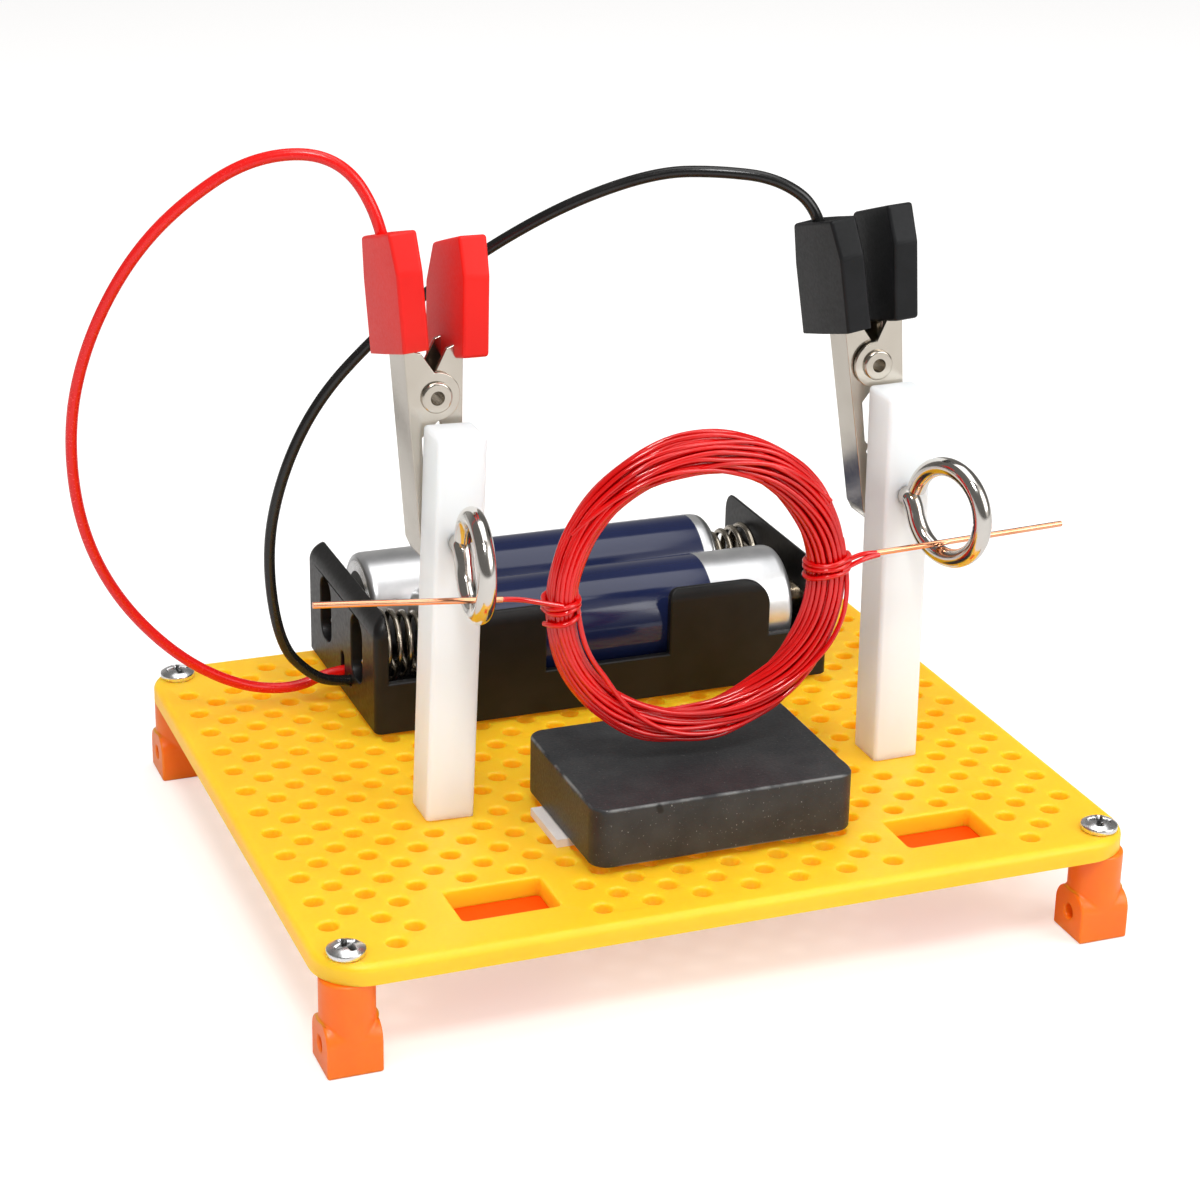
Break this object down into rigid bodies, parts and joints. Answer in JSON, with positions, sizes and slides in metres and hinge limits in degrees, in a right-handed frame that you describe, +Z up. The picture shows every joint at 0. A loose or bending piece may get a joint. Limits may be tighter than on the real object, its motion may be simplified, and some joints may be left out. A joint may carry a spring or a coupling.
{
  "type": "demonstration electric motor",
  "caption": "Bench motor for teaching: a wire coil turns in two screw eyes over a ferrite block, fed by cells in a holder through crocodile clips.",
  "frame": {"origin": "on the table under the middle of the peg board", "axes": "+X to the right along the board and the coil's axle, +Y to the cell holder at the back, +Z up"},
  "size_m": [0.1132, 0.0864, 0.0915],
  "materials": {
    "board_plastic": "satin yellow moulding",
    "leg_plastic": "satin orange moulding",
    "cover_plastic": "satin red-orange sheet",
    "screw_steel": "bright zinc plating",
    "holder_plastic": "satin black moulding",
    "foam_tape": "white foam tape",
    "contact_steel": "nickel-plated spring steel",
    "solder": "bright tin",
    "cell_steel": "nickel-plated steel",
    "cell_wrap": "glossy navy film",
    "cell_seal": "matt black washer",
    "post_plastic": "natural white nylon",
    "eye_steel": "nickel-plated steel wire",
    "enamelled_wire": "red enamelled copper wire",
    "bare_copper": "bare copper wire",
    "ferrite": "sintered dark grey ferrite",
    "foam_pad": "white foam",
    "clip_steel": "nickel-plated sheet steel",
    "red_grip": "soft red vinyl",
    "black_grip": "soft black vinyl",
    "red_insulation": "glossy red insulation",
    "black_insulation": "glossy black insulation"
  },
  "bodies": {
    "stand": {"black_clip_fixed_jaw": "clip_steel", "black_clip_lead_sleeve": "black_grip", "black_clip_rivet": "clip_steel", "black_clip_spring": "clip_steel", "black_lead": "black_insulation", "bridge_contact": "contact_steel", "cell_holder": "holder_plastic", "contact_rivets": "contact_steel", "front_cell_spring": "contact_steel", "holder_tape": "foam_tape", "left_post": "post_plastic", "left_screw_eye": "eye_steel", "left_slot_cover": "cover_plastic", "leg_front_left": "leg_plastic", "leg_front_right": "leg_plastic", "leg_rear_left": "leg_plastic", "leg_rear_right": "leg_plastic", "leg_screws": "screw_steel", "magnet": "ferrite", "magnet_pad": "foam_pad", "negative_contact": "contact_steel", "peg_board": "board_plastic", "positive_contact": "contact_steel", "post_screws": "screw_steel", "rear_cell_spring": "contact_steel", "red_clip_fixed_jaw": "clip_steel", "red_clip_lead_sleeve": "red_grip", "red_clip_rivet": "clip_steel", "red_clip_spring": "clip_steel", "red_lead": "red_insulation", "right_post": "post_plastic", "right_screw_eye": "eye_steel", "right_slot_cover": "cover_plastic", "solder_joints": "solder"},
    "coil": {"coil_winding": "enamelled_wire", "left_binding": "enamelled_wire", "right_binding": "enamelled_wire", "left_axle_wire": "bare_copper", "right_axle_wire": "bare_copper"},
    "red_jaw": {"red_clip_moving_jaw": "clip_steel", "red_clip_free_sleeve": "red_grip"},
    "black_jaw": {"black_clip_moving_jaw": "clip_steel", "black_clip_free_sleeve": "black_grip"},
    "front_cell": {"front_cell_can": "cell_steel", "front_cell_label": "cell_wrap", "front_cell_seal": "cell_seal", "front_cell_button": "cell_steel"},
    "rear_cell": {"rear_cell_can": "cell_steel", "rear_cell_label": "cell_wrap", "rear_cell_seal": "cell_seal", "rear_cell_button": "cell_steel"}
  },
  "joints": [
    {"name": "coil_spin", "type": "hinge", "parent": "stand", "child": "coil", "pos_m": [0, -0.0207, 0.0446], "axis": [1, 0, 0], "continuous": true},
    {"name": "red_clip_open", "type": "hinge", "parent": "stand", "child": "red_jaw", "pos_m": [-0.02522, -0.00315, 0.064], "axis": [0, -1, 0], "range_deg": [0, 7], "stiffness_Nm_per_rad": 0.02, "springref_deg": -17.19},
    {"name": "black_clip_open", "type": "hinge", "parent": "stand", "child": "black_jaw", "pos_m": [0.0298, -0.0048, 0.06325], "axis": [0, -1, 0], "range_deg": [0, 7], "stiffness_Nm_per_rad": 0.02, "springref_deg": -17.19},
    {"name": "front_cell_lift", "type": "slide", "parent": "stand", "child": "front_cell", "axis": [0, 0, 1], "range_m": [0, 0.02]},
    {"name": "rear_cell_lift", "type": "slide", "parent": "stand", "child": "rear_cell", "axis": [0, 0, 1], "range_m": [0, 0.02]}
  ]
}
